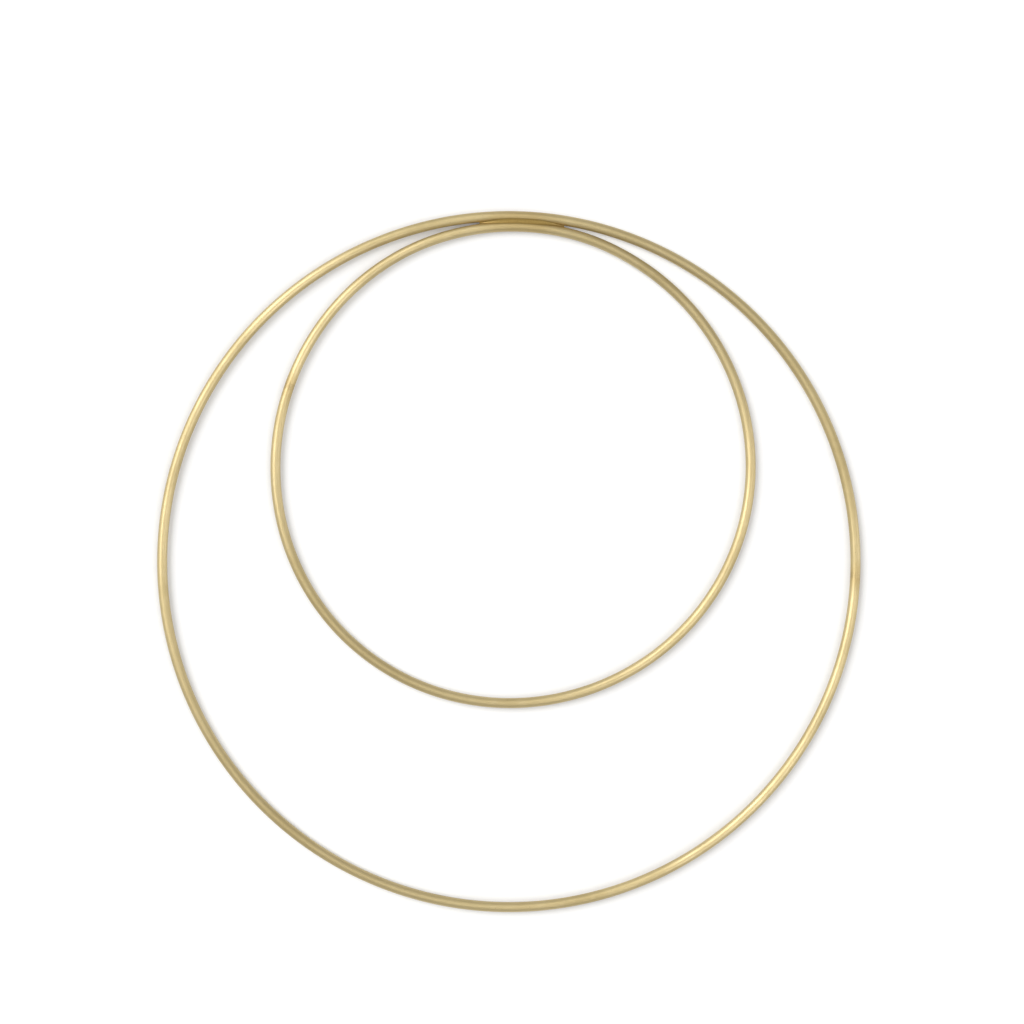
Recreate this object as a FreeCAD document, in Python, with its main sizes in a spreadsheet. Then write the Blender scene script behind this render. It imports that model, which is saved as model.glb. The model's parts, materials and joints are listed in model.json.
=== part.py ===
# Double-ring wreath frame: a small round-wire ring inside a large one, brazed together where they touch.
#
# The frame lies flat, as it does on a florist's bench. +Z is up, and the wires rest on Z = 0. The origin is
# under the centre of the outer ring. +Y points at the joint of the two rings, which is the top of the wreath
# when it hangs. Lengths are millimetres and angles are degrees, anticlockwise from +X seen from above.
import FreeCAD, Part
import Sketcher

import math
import os

DIMENSIONS = {
    "outer_ring_diameter": 330.2,  # over the wire, 13 in
    "inner_ring_diameter": 228.6,  # over the wire, 9 in
    "wire_diameter": 4.76,  # 3/16 in
    "weld_length": 3.0,  # along the wire, of the butt weld that closes a ring
    "outer_weld_angle": 0.0,  # where the outer ring is closed, a quarter turn from the joint
    "inner_weld_angle": 163.0,  # where the inner ring is closed
    "braze_gap": 0.15,  # between the two wires at the joint, filled by the braze
    "braze_length": 40.0,  # along the seam
    "braze_depth": 3.4,  # through the middle of the joint, from one side of the frame to the other
}

# Lengths that follow from the driving dimensions, as expressions that the document works out.
WIRE_RADIUS = "Dimensions.wire_diameter / 2"
OUTER_RADIUS = "(Dimensions.outer_ring_diameter - Dimensions.wire_diameter) / 2"
INNER_RADIUS = "(Dimensions.inner_ring_diameter - Dimensions.wire_diameter) / 2"
HALF_JOINT = "(Dimensions.wire_diameter + Dimensions.braze_gap) / 2"
JOINT_Y = f"{OUTER_RADIUS} - {HALF_JOINT}"
INNER_CENTRE_Y = f"{JOINT_Y} - {HALF_JOINT} - {INNER_RADIUS}"

MAX_OVERLAP = 1e-3  # mm3 that two pieces may share
VOLUME_TOLERANCE = 1e-4  # as a share of the volume


def make_document():
    """A document whose spreadsheet holds the driving dimensions, one alias to a row."""
    doc = FreeCAD.newDocument("wreath_frame")
    sheet = doc.addObject("Spreadsheet::Sheet", "Dimensions")
    for row, (alias, value) in enumerate(DIMENSIONS.items(), start=1):
        sheet.set(f"A{row}", alias)
        sheet.set(f"B{row}", str(value))
        sheet.setAlias(f"B{row}", alias)
    doc.recompute()
    return doc


def bind(target, **expressions):
    """Binds properties of an object to expressions. A double underscore in a name stands for a dot."""
    for name, expression in expressions.items():
        target.setExpression(name.replace("__", "."), expression)


def new_body(doc, name, centre_y, turned):
    """An empty body that lies on Z = 0, with its centre on the Y axis, turned about Z by an angle."""
    body = doc.addObject("PartDesign::Body", name)
    body.Label = name
    bind(
        body,
        Placement__Base__y=centre_y,
        Placement__Base__z=WIRE_RADIUS,
        Placement__Rotation__Angle=turned,
    )
    return body


def attach(feature, body, role):
    """Puts a sketch or a primitive on one of the body's own origin planes."""
    plane = next(item for item in body.Origin.OriginFeatures if item.Role == role)
    feature.AttachmentSupport = [(plane, "")]
    feature.MapMode = "FlatFace"


def add_wire_section(body, side, radius):
    """A sketch of the wire's round section, radius out along the body's +X axis (side 1) or -X axis (-1)."""
    sketch = body.newObject("Sketcher::SketchObject", f"{body.Name}_section")
    attach(sketch, body, "XZ_Plane")
    reach = DIMENSIONS["outer_ring_diameter"] / 2
    centre = FreeCAD.Vector(side * reach, 0, 0)
    wire, centre_point, x_axis, origin = 0, 3, -1, (-1, 1)
    sketch.addGeometry(Part.Circle(centre, FreeCAD.Vector(0, 0, 1), DIMENSIONS["wire_diameter"] / 2))
    sketch.addConstraint(Sketcher.Constraint("PointOnObject", wire, centre_point, x_axis))
    span = (*origin, wire, centre_point) if side > 0 else (wire, centre_point, *origin)
    ring_radius = sketch.addConstraint(Sketcher.Constraint("DistanceX", *span, reach))
    wire_radius = sketch.addConstraint(Sketcher.Constraint("Radius", wire, DIMENSIONS["wire_diameter"] / 2))
    sketch.renameConstraint(ring_radius, "ring_radius")
    sketch.renameConstraint(wire_radius, "wire_radius")
    bind(sketch, Constraints__ring_radius=radius, Constraints__wire_radius=WIRE_RADIUS)
    return sketch


def add_bent_wire(body, side, radius, angle):
    """Turns the wire's section about the body's Z axis, half of the angle to each side of the sketch."""
    turn = body.newObject("PartDesign::Revolution", f"{body.Name}_turn")
    turn.Profile = add_wire_section(body, side, radius)
    turn.ReferenceAxis = (turn.Profile[0], ["V_Axis"])
    turn.Midplane = True
    bind(turn, Angle=angle)


def make_closed_ring(doc, name, radius, centre_y, closed_at):
    """A wire bent to a circle, and the butt weld, dressed flush, that joins its two ends."""
    weld_angle = f"Dimensions.weld_length / ({radius}) * 180 / pi"
    ring = new_body(doc, name, centre_y, closed_at)
    add_bent_wire(ring, -1, radius, f"360 - {weld_angle}")
    weld = new_body(doc, f"{name}_weld", centre_y, closed_at)
    add_bent_wire(weld, 1, radius, weld_angle)
    return ring, weld


def add_lens_sketch(body):
    """The braze's outline along the seam: two equal arcs that meet in a point at each end."""
    sketch = body.newObject("Sketcher::SketchObject", f"{body.Name}_lens")
    attach(sketch, body, "XZ_Plane")
    half_length = DIMENSIONS["braze_length"] / 2
    half_depth = DIMENSIONS["braze_depth"] / 2
    right = FreeCAD.Vector(half_length, 0, 0)
    left = FreeCAD.Vector(-half_length, 0, 0)
    crest = FreeCAD.Vector(0, half_depth, 0)
    over, under, centre_point, x_axis, y_axis, origin = 0, 1, 3, -1, -2, (-1, 1)
    # An arc's point 1 is where it starts, anticlockwise, and its point 2 is where it ends.
    sketch.addGeometry(Part.Arc(right, crest, left))
    sketch.addGeometry(Part.Arc(left, -crest, right))
    sketch.addConstraint(Sketcher.Constraint("Coincident", over, 1, under, 2))
    sketch.addConstraint(Sketcher.Constraint("Coincident", over, 2, under, 1))
    sketch.addConstraint(Sketcher.Constraint("PointOnObject", over, 1, x_axis))
    sketch.addConstraint(Sketcher.Constraint("PointOnObject", over, centre_point, y_axis))
    sketch.addConstraint(Sketcher.Constraint("PointOnObject", under, centre_point, y_axis))
    sketch.addConstraint(Sketcher.Constraint("Equal", over, under))
    span = (*origin, over, 1)
    reach = sketch.addConstraint(Sketcher.Constraint("DistanceX", *span, half_length))
    bend = (half_length**2 + half_depth**2) / (2 * half_depth)
    arc_radius = sketch.addConstraint(Sketcher.Constraint("Radius", over, bend))
    sketch.renameConstraint(reach, "reach")
    sketch.renameConstraint(arc_radius, "arc_radius")
    square_sum = "(Dimensions.braze_length / 2)^2 + (Dimensions.braze_depth / 2)^2"
    bind(
        sketch,
        Constraints__reach="Dimensions.braze_length / 2",
        Constraints__arc_radius=f"({square_sum}) / Dimensions.braze_depth",
    )
    return sketch


def make_braze(doc, name):
    """The filler metal drawn into the groove between the two wires, above and below their seam."""
    body = new_body(doc, name, JOINT_Y, "0")
    pad = body.newObject("PartDesign::Pad", f"{name}_pad")
    pad.Profile = add_lens_sketch(body)
    pad.Midplane = True
    bind(pad, Length="Dimensions.wire_diameter")
    wires = {
        "outer": (OUTER_RADIUS, f"{HALF_JOINT} - {OUTER_RADIUS}"),
        "inner": (INNER_RADIUS, f"-({HALF_JOINT}) - {INNER_RADIUS}"),
    }
    for wire_name, (radius, centre_y) in wires.items():
        wire = body.newObject("PartDesign::SubtractiveTorus", f"{name}_clear_of_{wire_name}")
        attach(wire, body, "XY_Plane")
        bind(wire, AttachmentOffset__Base__y=centre_y, Radius1=radius, Radius2=WIRE_RADIUS)
        body.Tip = wire
    return body


def check_shapes(doc, pieces):
    """Stops the script if an object failed, or if a piece isn't one sound solid clear of the others."""
    for item in doc.Objects:
        if "Invalid" in item.State or "Error" in item.State:
            raise RuntimeError(f"{item.Name} failed: {item.State}")
    for piece in pieces:
        if piece.Shape.isNull() or not piece.Shape.isValid() or len(piece.Shape.Solids) != 1:
            raise RuntimeError(f"{piece.Label} is not one valid solid")
    for number, one in enumerate(pieces):
        for other in pieces[number + 1 :]:
            shared = one.Shape.common(other.Shape).Volume
            if shared > MAX_OVERLAP:
                raise RuntimeError(f"{one.Label} and {other.Label} share {shared:.4f} mm3")


def check_ring_volume(ring, weld, diameter):
    """A ring and its weld together hold the wire's section times the length of its centre line."""
    wire = DIMENSIONS["wire_diameter"]
    whole = math.pi * (wire / 2) ** 2 * math.pi * (diameter - wire)
    found = ring.Shape.Volume + weld.Shape.Volume
    if abs(found - whole) > VOLUME_TOLERANCE * whole:
        raise RuntimeError(f"{ring.Label} and its weld hold {found:.1f} mm3 in place of {whole:.1f} mm3")


def export(pieces):
    """Writes each piece to its own file and prints its volume and the corners of its box."""
    os.makedirs("parts", exist_ok=True)
    for piece in pieces:
        piece.Shape.exportStep(f"parts/{piece.Label}.step")
        box = piece.Shape.optimalBoundingBox(False)
        low = (round(box.XMin, 2), round(box.YMin, 2), round(box.ZMin, 2))
        high = (round(box.XMax, 2), round(box.YMax, 2), round(box.ZMax, 2))
        print(f"{piece.Label}: {piece.Shape.Volume:.2f} mm3, from {low} to {high}")


def main():
    doc = make_document()
    outer_ring, outer_weld = make_closed_ring(
        doc, "outer_ring", OUTER_RADIUS, "0", "Dimensions.outer_weld_angle"
    )
    inner_ring, inner_weld = make_closed_ring(
        doc, "inner_ring", INNER_RADIUS, INNER_CENTRE_Y, "Dimensions.inner_weld_angle"
    )
    braze = make_braze(doc, "joint_braze")
    doc.recompute()
    pieces = [outer_ring, outer_weld, inner_ring, inner_weld, braze]
    check_shapes(doc, pieces)
    check_ring_volume(outer_ring, outer_weld, DIMENSIONS["outer_ring_diameter"])
    check_ring_volume(inner_ring, inner_weld, DIMENSIONS["inner_ring_diameter"])
    export(pieces)


main()
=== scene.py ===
"""Looks of the double-ring wreath frame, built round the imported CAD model.

The CAD rings, welds and braze are plain. Each is replaced by a finer piece: wires with the slight unevenness
of drawn and bent brass, welds dressed by hand, and a braze whose faces curve in between the wires. Lengths
are metres and angles are radians, in the CAD model's frame: +Z up, +Y towards the joint of the rings.
"""

import json
import math

import bpy
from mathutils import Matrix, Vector, noise


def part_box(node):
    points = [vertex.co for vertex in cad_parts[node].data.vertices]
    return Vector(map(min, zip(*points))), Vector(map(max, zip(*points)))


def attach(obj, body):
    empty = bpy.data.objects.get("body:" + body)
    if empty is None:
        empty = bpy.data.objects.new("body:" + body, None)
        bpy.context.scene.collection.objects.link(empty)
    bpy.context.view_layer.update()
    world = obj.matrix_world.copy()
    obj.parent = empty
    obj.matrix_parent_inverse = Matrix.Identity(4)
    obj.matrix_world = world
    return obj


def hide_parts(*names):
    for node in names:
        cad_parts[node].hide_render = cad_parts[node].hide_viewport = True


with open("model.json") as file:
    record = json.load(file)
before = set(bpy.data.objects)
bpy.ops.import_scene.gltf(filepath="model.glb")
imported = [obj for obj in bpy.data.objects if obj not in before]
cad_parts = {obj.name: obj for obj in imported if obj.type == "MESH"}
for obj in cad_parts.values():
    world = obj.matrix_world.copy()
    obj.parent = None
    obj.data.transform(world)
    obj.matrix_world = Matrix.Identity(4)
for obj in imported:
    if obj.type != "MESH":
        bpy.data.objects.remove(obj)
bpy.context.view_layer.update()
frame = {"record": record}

# ---- The frame's sizes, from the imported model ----

MM = 0.001
MOUNTS = {mount["name"]: mount for mount in frame["record"]["mounts"]}
WIRE_RADIUS = MOUNTS["wiring_rail"]["dims"]["r_mm"] * MM
JOINT = Vector(MOUNTS["hanging_joint"]["pos_m"])
OUTER_RADIUS = -MOUNTS["wiring_rail"]["pos_m"][1]
HALF_GAP = OUTER_RADIUS - WIRE_RADIUS - JOINT.y

WELD_LENGTH = 3.0 * MM  # along the wire, as in the CAD model

# How far each hand-bent ring is out of round, from a fit to the photographed rings' edges. A term is a
# number of lobes, how far they bulge in millimetres, and the direction of one of them in degrees. With no
# lobes, the ring is larger all round.
OUTER_BENDS = ((0, 0.22, 0), (2, 0.3, 0))
INNER_BENDS = ((0, 0.12, 0), (1, 0.49, 263), (2, 0.23, 69), (3, 0.41, -11))
HELD_REACH = math.radians(11)  # from the joint, within which the ring is true
FREE_REACH = math.radians(30)  # from the joint, past which it bulges in full


def middle(node):
    low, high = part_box(node)
    return (low + high) / 2


class Ring:
    """The centre line of a ring: its centre, its radius, and the angle at which a weld closes it."""

    def __init__(self, node, top, out_of_round):
        low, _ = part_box(node)
        bottom = low.y + WIRE_RADIUS
        self.radius = (top - bottom) / 2
        self.centre = Vector((0, top - self.radius, WIRE_RADIUS))
        self.out_of_round = out_of_round
        spoke = middle(node + "_weld") - self.centre
        self.weld_angle = math.atan2(spoke.y, spoke.x)
        self.half_weld = WELD_LENGTH / 2 / self.radius
        # Places along a wire are counted from +X. The wire starts at its weld, so the joint may lie a turn
        # further on.
        self.joint_along = self.radius * (self.weld_angle + (math.pi / 2 - self.weld_angle) % math.tau)

    def wander(self, angle):
        """How far the wire lies outside a true circle. Beside the joint, the braze holds it true."""
        from_joint = abs(math.remainder(angle - math.pi / 2, math.tau))
        share = min(1.0, max(0.0, (from_joint - HELD_REACH) / (FREE_REACH - HELD_REACH)))
        bulge = 0.0
        for lobes, depth, way in self.out_of_round:
            bulge += depth * math.cos(lobes * (angle - math.radians(way)))
        return share**2 * (3 - 2 * share) * bulge * MM

    def at(self, angle, out=0.0, up=0.0):
        """A point beside the centre line: out from the ring's centre, and up from its plane."""
        reach = self.radius + self.wander(angle) + out
        return self.centre + Vector((reach * math.cos(angle), reach * math.sin(angle), up))


outer = Ring("outer_ring", JOINT.y + HALF_GAP + WIRE_RADIUS, OUTER_BENDS)
inner = Ring("inner_ring", JOINT.y - HALF_GAP - WIRE_RADIUS, INNER_BENDS)

# ---- Meshes ----

SECTION_SIDES = 40
STATION_STEP = 0.75 * MM  # along a ring's wire
UNEVEN_DEPTH = 0.02 * MM  # how far a wire's surface wanders from a true round
UNEVEN_SPAN = 22 * MM  # along the wire, from one swelling to the next
EDGE_DEPTH = 0.012 * MM  # of the fine line that shows where wire and weld meet
EDGE_REACH = 0.35 * MM
CREASE = math.radians(35)  # a fold sharper than this shows as an edge


def make_piece(name, node, slot, points, places, faces, material):
    """A smooth mesh piece that stands for a CAD node.

    places says where each point was when the wire was straight, which the materials' patterns follow.
    """
    mesh = bpy.data.meshes.new(name)
    mesh.from_pydata(points, [], faces)
    mesh.validate()
    mesh.shade_smooth()
    mesh.set_sharp_from_angle(angle=CREASE)
    attribute = mesh.attributes.new("straight_wire", "FLOAT_VECTOR", "POINT")
    attribute.data.foreach_set("vector", [value for place in places for value in place])
    mesh.materials.append(material)
    piece = bpy.data.objects.new(name, mesh)
    bpy.context.scene.collection.objects.link(piece)
    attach(piece, "root")
    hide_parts(node)


def tube_faces(stations, sides):
    """Quads between the stations of a tube, and a flat cap on each end."""
    faces = []
    for station in range(stations - 1):
        low, high = station * sides, (station + 1) * sides
        for side in range(sides):
            after = (side + 1) % sides
            faces.append((low + side, low + after, high + after, high + side))
    faces.append(tuple(reversed(range(sides))))
    faces.append(tuple(range((stations - 1) * sides, stations * sides)))
    return faces


def bend_wire(ring, start, sweep, steps, section):
    """The points, places and faces of a stretch of a ring's wire.

    section(along, turn, to_end) is the wire's radius at a place along it, at an angle round it, and at a
    distance from the nearer end of the stretch.
    """
    points, places = [], []
    length = sweep * ring.radius
    for station in range(steps + 1):
        angle = start + sweep * station / steps
        along = ring.radius * angle
        to_end = min(station, steps - station) / steps * length
        for side in range(SECTION_SIDES):
            # The sections are numbered so that the faces look outwards.
            turn = -math.tau * side / SECTION_SIDES
            radius = section(along, turn, to_end)
            out, up = radius * math.cos(turn), radius * math.sin(turn)
            points.append(ring.at(angle, out, up))
            places.append((along, out, up))
    return points, places, tube_faces(steps + 1, SECTION_SIDES)


def edge_dip(to_end):
    """How far the surface drops into the fine line at the end of a wire or weld."""
    share = min(1.0, to_end / EDGE_REACH)
    return EDGE_DEPTH * (1 - share) ** 2


def wire_section(along, turn, to_end):
    place = Vector((along / UNEVEN_SPAN, math.cos(turn), math.sin(turn)))
    return WIRE_RADIUS - UNEVEN_DEPTH * (0.5 + 0.5 * noise.noise(place)) - edge_dip(to_end)


WELD_STATIONS = 30
FILE_MARKS = 7  # flats round a weld, left by the file
FILE_DRIFT = 0.8  # how unevenly the flats are spaced, in radians of their wave
FLAT_DEPTH = 0.0135 * MM
GRAIN_DEPTH = 0.0075 * MM  # from its middle, each way
GRAIN_SPAN = 0.8 * MM  # of one cell of the grain, along the weld
GRAIN_RADIUS = 3  # of the weld, in cells of the grain


def weld_section(along, turn, to_end):
    flats = 0.5 - 0.5 * math.cos(FILE_MARKS * turn + FILE_DRIFT * math.sin(2 * turn))
    place = Vector((along / GRAIN_SPAN, GRAIN_RADIUS * math.cos(turn), GRAIN_RADIUS * math.sin(turn)))
    grain = 1 + noise.noise(place)
    return WIRE_RADIUS - FLAT_DEPTH * flats - GRAIN_DEPTH * grain - edge_dip(to_end)


def bend_ring(ring):
    sweep = math.tau - 2 * ring.half_weld
    steps = round(sweep * ring.radius / STATION_STEP)
    return bend_wire(ring, ring.weld_angle + ring.half_weld, sweep, steps, wire_section)


def form_weld(ring):
    return bend_wire(ring, ring.weld_angle - ring.half_weld, 2 * ring.half_weld, WELD_STATIONS, weld_section)


BRAZE_STATIONS = 120
BRAZE_FACE_POINTS = 14  # across each curved face
BRAZE_WALL_POINTS = 8  # down each side, against a wire
TUCK = 0.02 * MM  # how far the braze's sides reach into the wires, so that no gap shows
BLUNTNESS = 4  # of the braze's ends. 2 would give nearly the CAD lens, and more gives blunter ends
THINNEST = 0.03 * MM  # half of the braze's depth at its very ends


def braze_section(x, half_length, half_depth):
    """The outline of the braze across the seam, as points (y, z) from the middle of the wires' depth.

    Its front and back are arcs that curve in and meet both wires' surfaces smoothly, as a liquid's would.
    """
    outer_y = outer.centre.y + math.sqrt(outer.radius**2 - x**2)
    inner_y = inner.centre.y + math.sqrt(inner.radius**2 - x**2)
    middle_y = (outer_y + inner_y) / 2
    spread = (outer_y - inner_y) / 2  # from the middle of the seam to a wire's centre
    throat = half_depth * (1 - (x / half_length) ** BLUNTNESS) + THINNEST
    bend = (spread**2 + throat**2 - WIRE_RADIUS**2) / (2 * (WIRE_RADIUS - throat))
    height = throat + bend  # of the bend's centre
    contact = math.atan2(height, spread)  # how far round the wire the braze reaches
    half_arc = math.pi / 2 - contact
    wall = WIRE_RADIUS - TUCK
    half_outline = []
    for step in range(BRAZE_FACE_POINTS):
        angle = half_arc * (1 - 2 * step / (BRAZE_FACE_POINTS - 1))
        half_outline.append((bend * math.sin(angle), height - bend * math.cos(angle)))
    for step in range(1, BRAZE_WALL_POINTS):
        angle = contact * (1 - 2 * step / BRAZE_WALL_POINTS)
        half_outline.append((wall * math.cos(angle) - spread, wall * math.sin(angle)))
    # The other half is the same, turned half a turn about the seam.
    outline = half_outline + [(-y, -z) for y, z in half_outline]
    return [(middle_y + y, z) for y, z in outline]


def flow_braze():
    low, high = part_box("joint_braze")
    half_length = (high.x - low.x) / 2
    half_depth = (high.z - low.z) / 2
    points, places = [], []
    for station in range(BRAZE_STATIONS + 1):
        x = half_length * (2 * station / BRAZE_STATIONS - 1)
        for y, z in braze_section(x, half_length, half_depth):
            points.append((x, y, JOINT.z + z))
            places.append((x, y - JOINT.y, z))
    sides = 2 * (BRAZE_FACE_POINTS + BRAZE_WALL_POINTS - 1)
    return points, places, tube_faces(BRAZE_STATIONS + 1, sides)


# ---- Materials ----


class Nodes:
    """A material's node tree, with short calls for the nodes used here."""

    def __init__(self, name):
        self.material = bpy.data.materials.new(name)
        self.material.use_nodes = True
        self.tree = self.material.node_tree
        self.shader = self.tree.nodes["Principled BSDF"]

    def add(self, kind, **settings):
        node = self.tree.nodes.new("ShaderNode" + kind)
        for key, value in settings.items():
            setattr(node, key, value)
        return node

    def link(self, source, target):
        self.tree.links.new(source, target)

    def noise(self, vector, scale, detail=3.0, roughness=0.55):
        """Noise from 0 to 1 in places scaled along each axis."""
        mapping = self.add("Mapping")
        self.link(vector, mapping.inputs["Vector"])
        mapping.inputs["Scale"].default_value = scale
        pattern = self.add("TexNoise")
        pattern.inputs["Scale"].default_value = 1.0
        pattern.inputs["Detail"].default_value = detail
        pattern.inputs["Roughness"].default_value = roughness
        self.link(mapping.outputs["Vector"], pattern.inputs["Vector"])
        return pattern.outputs["Fac"]

    def remap(self, value, low, high, to_low, to_high, smooth=False):
        node = self.add("MapRange", interpolation_type="SMOOTHSTEP" if smooth else "LINEAR")
        self.link(value, node.inputs["Value"])
        for key, number in (("From Min", low), ("From Max", high), ("To Min", to_low), ("To Max", to_high)):
            node.inputs[key].default_value = number
        return node.outputs["Result"]

    def maths(self, operation, one, other):
        node = self.add("Math", operation=operation)
        self.link(one, node.inputs[0])
        if isinstance(other, (int, float)):
            node.inputs[1].default_value = other
        else:
            self.link(other, node.inputs[1])
        return node.outputs[0]

    def mix(self, factor, one, other):
        """A colour between two, each a colour or a link."""
        node = self.add("Mix", data_type="RGBA")
        self.link(factor, node.inputs["Factor"])
        for socket, colour in ((node.inputs[6], one), (node.inputs[7], other)):
            if isinstance(colour, tuple):
                socket.default_value = (*colour, 1.0)
            else:
                self.link(colour, socket)
        return node.outputs[2]

    def near(self, vector, spot, full, reach, ragged):
        """1 within one distance of a spot, falling to 0 at another. ragged is added to the distance."""
        distance = self.add("VectorMath", operation="DISTANCE")
        self.link(vector, distance.inputs[0])
        distance.inputs[1].default_value = spot
        uneven = self.maths("ADD", distance.outputs["Value"], ragged)
        return self.remap(uneven, full, reach, 1, 0, smooth=True)

    def bump(self, height, depth, strength, below=None):
        node = self.add("Bump")
        node.inputs["Distance"].default_value = depth
        node.inputs["Strength"].default_value = strength
        self.link(height, node.inputs["Height"])
        if below:
            self.link(below, node.inputs["Normal"])
        return node.outputs["Normal"]


BRASS = (0.64, 0.52, 0.275)
WELD_BRASS = (0.57, 0.44, 0.21)
# The braze's colour is the filler's gold, darkened with painted shade for the groove between the wires.
BRAZE_GOLD_AND_SHADE = (0.34, 0.23, 0.065)
PAINTED_SEAM_SHADE = (0.5, 0.35, 0.12)  # painted shade between the wires, on their sides that face the seam
HEATED_BRASS = (0.46, 0.32, 0.11)
TARNISH = (0.3, 0.22, 0.1)  # of the scattered specks
DULL = (0.81, 0.8, 0.75)  # a tint, which multiplies a colour
PALE = (1.09, 1.13, 1.25)
ROUGHNESS = 0.55
LACQUER = 0.5  # a thin clear coat, which pales the highlights
LACQUER_ROUGHNESS = 0.25
JOINT_HEAT = 24 * MM  # how far the browning reaches from the joint
WELD_HEAT = 8 * MM
BROWNED = 0.4  # the share of the heated colour there
HEAT_DRIFT = 3 * MM  # how far the edge of the browning wanders
SEAM_SHADE_REACH = 3.7 * MM  # how far the painted shade reaches over a wire from the seam
SEAM_SHADE_DRIFT = 0.5 * MM
SEAM_SHADE_SHAPE = Vector((0.11, 1, 1))  # its reach along the wire is longer, by one over the first number
SEAM_SHADE_SHARE = 0.6  # how strongly the painted shade browns the wire
DRAWN_GRAIN = 0.3  # how strongly the drawn surface spreads a highlight across the wire
ACROSS = 0.25  # of a turn, from along the wire

# Patterns, each as cells to a metre along the wire, outwards and upwards.
PATCHES = (28, 120, 120)
BLOTCHES = (210, 300, 300)
SPECKS = (1100, 1500, 1500)
DRAWN_LINES = (35, 4200, 4200)
FILED_GRAIN = (2600, 900, 900)
DENTS = (90, 500, 500)
DENT_DEPTH = 0.03 * MM
LINE_DEPTH = 0.016 * MM


def tinted(colour, tint):
    return tuple(part * share for part, share in zip(colour, tint))


def brass(name, colour, drawn, heated_places=(), seam=None):
    """Satin brass. Drawn brass has fine lines along the wire, and filed or flowed brass has an even grain.

    heated_places are points, each with how far its browning reaches. seam is the point on the straight wire
    round which the side facing the other wire is browned with painted shade.
    """
    nodes = Nodes(name)
    wire = nodes.add("Attribute", attribute_name="straight_wire").outputs["Vector"]
    place = nodes.add("TexCoord").outputs["Object"]

    patches = nodes.noise(wire, PATCHES, detail=4.0)
    blotches = nodes.noise(wire, BLOTCHES, detail=4.0)
    specks = nodes.noise(wire, SPECKS, detail=2.0)
    if drawn:
        lines = nodes.noise(wire, DRAWN_LINES, detail=5.0, roughness=0.7)
    else:
        lines = nodes.noise(wire, FILED_GRAIN, detail=4.0, roughness=0.65)

    dull = tinted(colour, DULL)
    shade = nodes.mix(nodes.remap(patches, 0.35, 0.7, 0, 1, smooth=True), colour, dull)
    shade = nodes.mix(nodes.remap(blotches, 0.5, 0.8, 0, 0.5), shade, tinted(colour, PALE))
    shade = nodes.mix(nodes.remap(lines, 0.35, 0.65, 0, 0.6), shade, dull)
    shade = nodes.mix(nodes.remap(specks, 0.7, 0.76, 0, 0.6), shade, TARNISH)
    for heated, reach in heated_places:
        ragged = nodes.remap(blotches, 0, 1, -HEAT_DRIFT, HEAT_DRIFT)
        browned = nodes.near(place, heated, 0.2 * reach, reach, ragged)
        shade = nodes.mix(nodes.maths("MULTIPLY", browned, BROWNED), shade, HEATED_BRASS)
    # Painted shade: near the joint, the wire's side that faces the other wire is browned where shade falls
    # between the wires.
    if seam:
        squeezed = nodes.add("VectorMath", operation="MULTIPLY")
        nodes.link(wire, squeezed.inputs[0])
        squeezed.inputs[1].default_value = SEAM_SHADE_SHAPE
        ragged = nodes.remap(blotches, 0, 1, -SEAM_SHADE_DRIFT, SEAM_SHADE_DRIFT)
        seam_shade = nodes.near(squeezed.outputs["Vector"], seam * SEAM_SHADE_SHAPE, 0.5 * SEAM_SHADE_REACH, SEAM_SHADE_REACH, ragged)
        shade = nodes.mix(nodes.maths("MULTIPLY", seam_shade, SEAM_SHADE_SHARE), shade, PAINTED_SEAM_SHADE)
    nodes.link(shade, nodes.shader.inputs["Base Color"])

    fine = nodes.remap(lines, 0.35, 0.65, -0.08, 0.08)
    broad = nodes.remap(patches, 0.3, 0.7, -0.06, 0.06)
    rough = nodes.maths("ADD", nodes.maths("ADD", fine, broad), ROUGHNESS)
    nodes.link(rough, nodes.shader.inputs["Roughness"])
    dented = nodes.bump(nodes.noise(wire, DENTS, detail=2.0), DENT_DEPTH, 0.6)
    nodes.link(nodes.bump(lines, LINE_DEPTH, 0.8, dented), nodes.shader.inputs["Normal"])

    nodes.shader.inputs["Metallic"].default_value = 1.0
    nodes.shader.inputs["Coat Weight"].default_value = LACQUER
    nodes.shader.inputs["Coat Roughness"].default_value = LACQUER_ROUGHNESS
    if drawn:
        nodes.shader.inputs["Anisotropic"].default_value = DRAWN_GRAIN
        nodes.shader.inputs["Anisotropic Rotation"].default_value = ACROSS
        tangent = nodes.add("Tangent", direction_type="RADIAL", axis="Z")
        nodes.link(tangent.outputs["Tangent"], nodes.shader.inputs["Tangent"])
    return nodes.material


def make_pieces():
    """The wires, welds and braze.

    A wire is browned where it was heated, at the joint and at its own weld. Its side that faces the seam is
    browned too, as painted shade between the wires: inwards on the outer ring, outwards on the inner one.
    """
    filed = brass("filed_brass", WELD_BRASS, drawn=False)
    # The braze's darkness is partly painted shade for the groove between the wires.
    flowed = brass("flowed_brass", BRAZE_GOLD_AND_SHADE, drawn=False)
    for size, ring, facing in (("outer", outer, -1), ("inner", inner, 1)):
        heated_places = ((JOINT, JOINT_HEAT), (ring.at(ring.weld_angle), WELD_HEAT))
        seam = Vector((ring.joint_along, facing * WIRE_RADIUS, 0))
        drawn = brass(size + "_brass", BRASS, drawn=True, heated_places=heated_places, seam=seam)
        make_piece(size + "_wire", size + "_ring", "brass_wire", *bend_ring(ring), drawn)
        make_piece(size + "_weld", size + "_ring_weld", "weld_metal", *form_weld(ring), filed)
    make_piece("braze", "joint_braze", "braze_metal", *flow_braze(), flowed)


# ---- Stage, lights and camera ----

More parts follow.
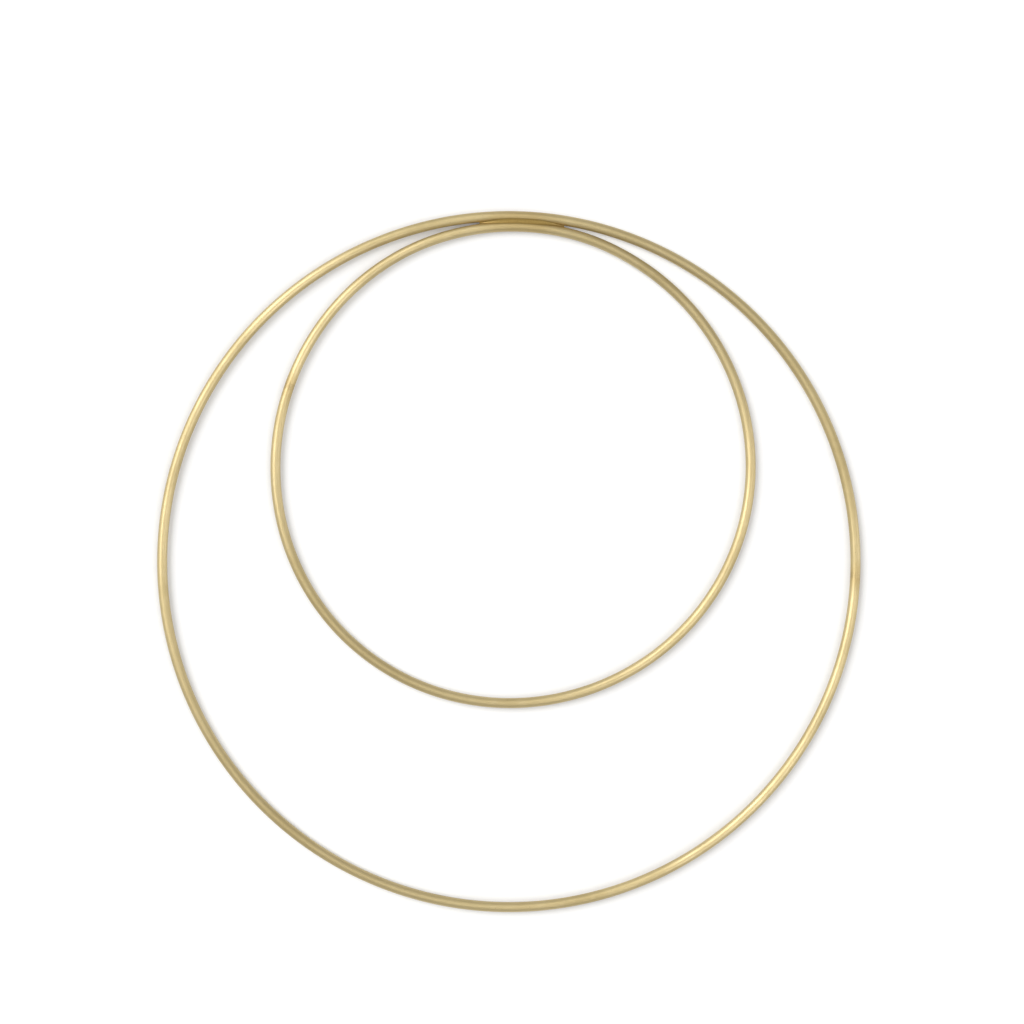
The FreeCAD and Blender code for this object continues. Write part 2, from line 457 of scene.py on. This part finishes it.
RING_SHARE = 0.6848  # the outer ring's diameter, as a share of the picture's width
CENTRE_RIGHT = -0.0031  # from the picture's middle to the outer ring's centre, as shares of the width
CENTRE_DOWN = 0.0485
ROLL = math.radians(2.2)  # the joint lies this far clockwise of straight up
LENS = 100.0  # mm, on a sensor 36 mm wide
SENSOR = 36.0

FLOOR_REACH = 30.0
# Each soft light: its direction from the object, its elevation and its width, in degrees, and its strength
# in W/m2. They started from a fit to the brightness of the photographed rings.
SOFT_LIGHTS = {
    "key": (152, 49, 42, 2.4),
    "fill": (325, 55, 37, 1.0),
    "low": (0, 15, 31, 0.4),
}
SURROUND = 0.42
FLOOR_WHITE = 0.74
TABLE_GLOW = 0.12


def make_camera():
    """Straight above the frame, turned a little about its own axis."""
    data = bpy.data.cameras.new("camera")
    data.lens = LENS
    data.sensor_width = SENSOR
    camera = bpy.data.objects.new("camera", data)
    bpy.context.scene.collection.objects.link(camera)
    width = 2 * (outer.radius + WIRE_RADIUS) / RING_SHARE
    right = Vector((math.cos(ROLL), math.sin(ROLL), 0))
    up = Vector((-math.sin(ROLL), math.cos(ROLL), 0))
    distance = Vector((0, 0, width * LENS / SENSOR))
    camera.location = outer.centre - width * CENTRE_RIGHT * right + width * CENTRE_DOWN * up + distance
    camera.rotation_euler = (0, 0, ROLL)
    bpy.context.scene.camera = camera


def make_floor():
    mesh = bpy.data.meshes.new("floor")
    corners = [(x * FLOOR_REACH, y * FLOOR_REACH, 0) for x, y in ((-1, -1), (1, -1), (1, 1), (-1, 1))]
    mesh.from_pydata(corners, [], [(0, 1, 2, 3)])
    nodes = Nodes("pale_floor")
    nodes.shader.inputs["Base Color"].default_value = (FLOOR_WHITE, FLOOR_WHITE, FLOOR_WHITE, 1)
    nodes.shader.inputs["Roughness"].default_value = 0.9
    nodes.shader.inputs["Specular IOR Level"].default_value = 0.0
    # The floor is a light table: a little light comes up through it, for the camera alone.
    nodes.shader.inputs["Emission Color"].default_value = (1, 1, 1, 1)
    seen = nodes.remap(nodes.add("LightPath").outputs["Is Camera Ray"], 0, 1, 0, TABLE_GLOW)
    nodes.link(seen, nodes.shader.inputs["Emission Strength"])
    mesh.materials.append(nodes.material)
    floor = bpy.data.objects.new("floor", mesh)
    bpy.context.scene.collection.objects.link(floor)


def make_soft_light(name, direction, elevation, width, strength):
    """A broad soft light so far away that it lights the whole floor evenly."""
    data = bpy.data.lights.new(name, "SUN")
    data.angle = math.radians(width)
    data.energy = strength
    light = bpy.data.objects.new(name, data)
    bpy.context.scene.collection.objects.link(light)
    way, rise = math.radians(direction), math.radians(elevation)
    away = Vector((math.cos(rise) * math.cos(way), math.cos(rise) * math.sin(way), math.sin(rise)))
    light.rotation_euler = away.to_track_quat("Z", "Y").to_euler()


def make_surround():
    """Even light from all round. The camera sees it as white."""
    world = bpy.data.worlds.new("studio")
    world.use_nodes = True
    tree = world.node_tree
    background = tree.nodes["Background"]
    background.inputs["Color"].default_value = (1, 1, 1, 1)
    rays = tree.nodes.new("ShaderNodeLightPath")
    strength = tree.nodes.new("ShaderNodeMapRange")
    strength.inputs["To Min"].default_value = SURROUND
    tree.links.new(rays.outputs["Is Camera Ray"], strength.inputs["Value"])
    tree.links.new(strength.outputs["Result"], background.inputs["Strength"])
    bpy.context.scene.world = world


make_pieces()
make_camera()
make_floor()
for name, setting in SOFT_LIGHTS.items():
    make_soft_light(name, *setting)
make_surround()
bpy.context.scene.view_settings.view_transform = "Standard"
